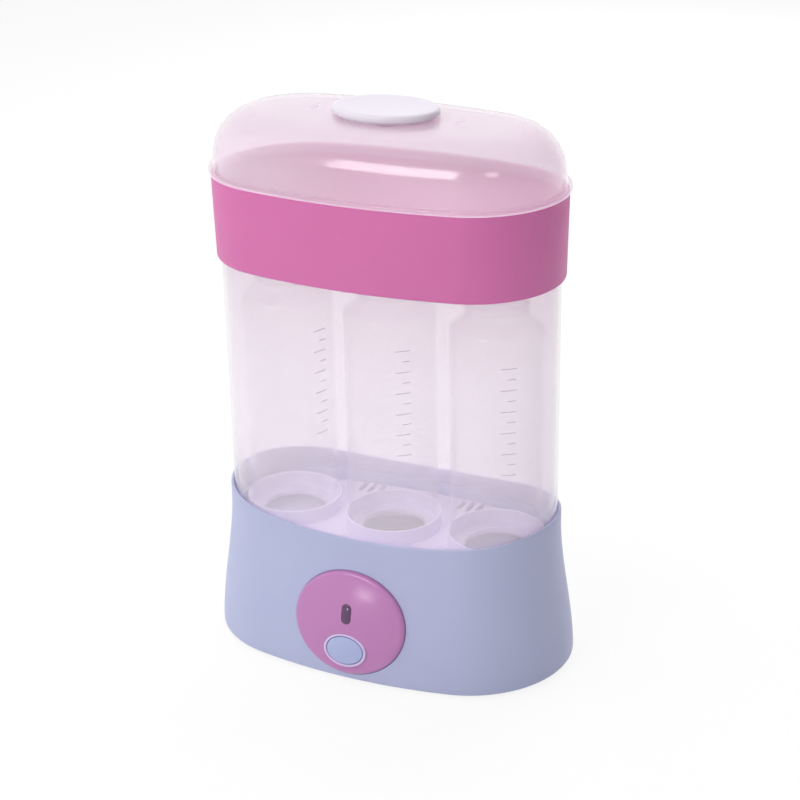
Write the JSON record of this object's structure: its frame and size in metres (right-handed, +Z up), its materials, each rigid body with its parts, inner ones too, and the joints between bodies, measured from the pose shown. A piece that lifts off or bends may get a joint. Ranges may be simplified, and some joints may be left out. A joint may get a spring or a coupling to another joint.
{
  "type": "electric bottle sterilizer",
  "caption": "Countertop steam sterilizer: heated base with a push button, clear sleeve over standing feeding bottles in a rack, slotted accessory tray and domed lid.",
  "frame": {"origin": "under the middle of the base, on the surface that the feet stand on", "axes": "+X across the width to the right, -Y towards the front with the control panel, +Z up"},
  "size_m": [0.2243, 0.14, 0.3315],
  "materials": {
    "base_plastic": "injection-moulded polypropylene, fine satin",
    "foot_rubber": "pale grey moulded rubber",
    "plate_steel": "pressed stainless steel",
    "zinc_steel": "zinc-plated steel",
    "seal_silicone": "white silicone",
    "element_sheath": "drawn metal sheath",
    "bakelite_black": "black phenolic moulding",
    "panel_plastic": "polished ABS",
    "lens_smoke": "smoked acrylic",
    "collar_plastic": "polished ABS",
    "button_plastic": "satin ABS",
    "led_red": "tinted epoxy",
    "board_green": "solder-masked laminate",
    "inlet_plastic": "black glass-filled nylon",
    "blade_brass": "nickel-plated brass",
    "clear_plastic": "clear moulded polypropylene",
    "tray_plastic": "pink moulded polypropylene",
    "lid_plastic": "clear moulded polypropylene",
    "grip_plastic": "pale satin polypropylene",
    "rack_plastic": "moulded polypropylene",
    "bottle_plastic": "frosted clear polypropylene"
  },
  "bodies": {
    "base": {"base_shell": "base_plastic", "bottom_cover": "base_plastic", "cover_screws": "zinc_steel", "rubber_feet": "foot_rubber", "heating_plate": "plate_steel", "plate_seal": "seal_silicone", "heating_element": "element_sheath", "plate_strap": "zinc_steel", "strap_nut": "zinc_steel", "strap_screws": "zinc_steel", "thermostat": "bakelite_black", "thermal_fuse": "element_sheath", "control_panel": "panel_plastic", "indicator_lens": "lens_smoke", "button_collar": "collar_plastic", "tact_switch": "bakelite_black", "indicator_led": "led_red", "control_board": "board_green", "board_screws": "zinc_steel", "power_inlet": "inlet_plastic", "inlet_blades": "blade_brass"},
    "button": {"start_button": "button_plastic"},
    "sleeve": {"clear_sleeve": "clear_plastic"},
    "tray": {"accessory_tray": "tray_plastic"},
    "lid": {"lid": "lid_plastic", "lid_grip": "grip_plastic", "grip_retainer": "grip_plastic"},
    "rack": {"bottle_rack": "rack_plastic", "bottle_left": "bottle_plastic", "bottle_middle": "bottle_plastic", "bottle_right": "bottle_plastic"}
  },
  "joints": [
    {"name": "sleeve_lift", "type": "slide", "parent": "base", "child": "sleeve", "axis": [0, 0, 1], "range_m": [0, 0.2]},
    {"name": "tray_lift", "type": "slide", "parent": "sleeve", "child": "tray", "axis": [0, 0, 1], "range_m": [0, 0.08]},
    {"name": "lid_lift", "type": "slide", "parent": "tray", "child": "lid", "axis": [0, 0, 1], "range_m": [0, 0.08]},
    {"name": "rack_lift", "type": "slide", "parent": "base", "child": "rack", "axis": [0, 0, 1], "range_m": [0, 0.005]},
    {"name": "button_press", "type": "slide", "parent": "base", "child": "button", "axis": [0, 0.9852, -0.1711], "range_m": [0, 0.0012], "stiffness_N_per_m": 600}
  ]
}
